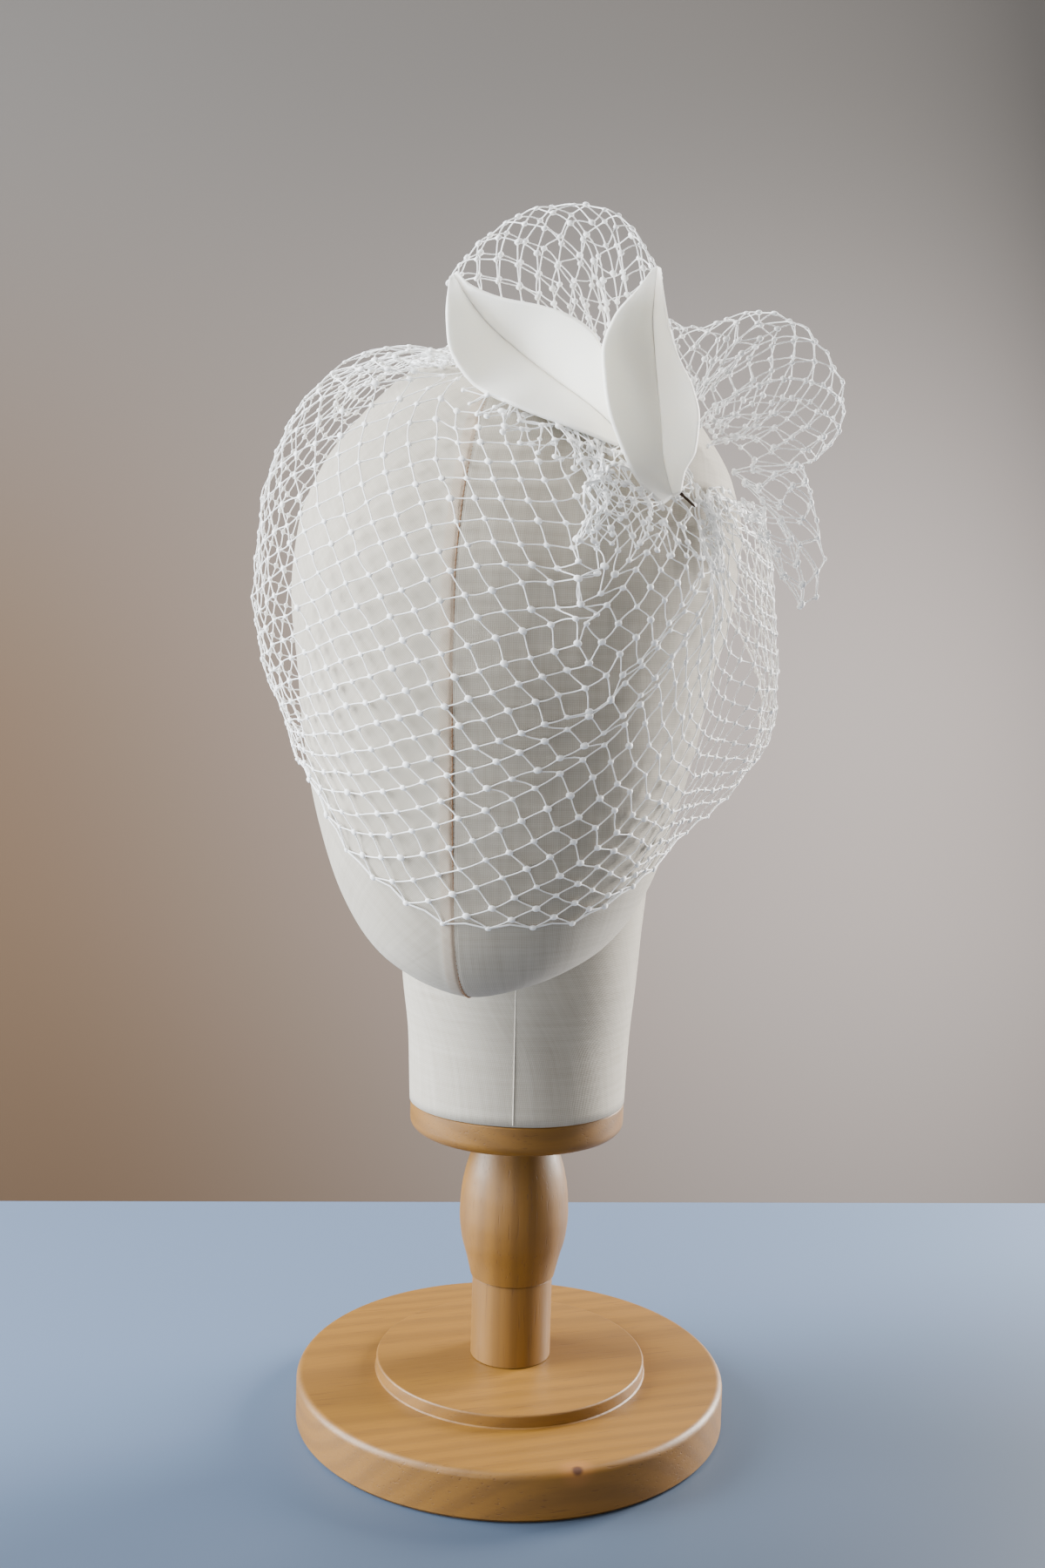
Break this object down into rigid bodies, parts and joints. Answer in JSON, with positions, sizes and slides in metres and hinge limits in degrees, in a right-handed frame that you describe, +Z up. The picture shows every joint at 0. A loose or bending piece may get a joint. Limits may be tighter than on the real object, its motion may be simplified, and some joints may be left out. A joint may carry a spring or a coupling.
{
  "type": "short net veil on a canvas head stand",
  "caption": "Short open-net bridal veil gathered behind satin leaves and net loops, wrapped round a canvas head form on a turned wooden stand.",
  "frame": {"origin": "middle of the stand's flat underside", "axes": "+Z up the stand's axis, -Y the way the face looks, +X towards the side with the bow"},
  "size_m": [0.1985, 0.2038, 0.4276],
  "materials": {
    "honey_wood": "clear satin varnish",
    "head_canvas": "unbleached plain-weave canvas",
    "white_net": "knotted open net",
    "ivory_satin": "dull satin",
    "dark_steel": "darkened"
  },
  "bodies": {
    "root": {"stand_base": "honey_wood", "stand_post": "honey_wood", "stand_bulb": "honey_wood", "neck_disc": "honey_wood", "head_form": "head_canvas", "veil_net": "white_net", "gathered_header": "white_net", "loop_top": "white_net", "loop_upper_right": "white_net", "loop_lower_right": "white_net", "leaf_left": "ivory_satin", "leaf_right": "ivory_satin", "leaf_pin": "dark_steel"}
  },
  "joints": []
}
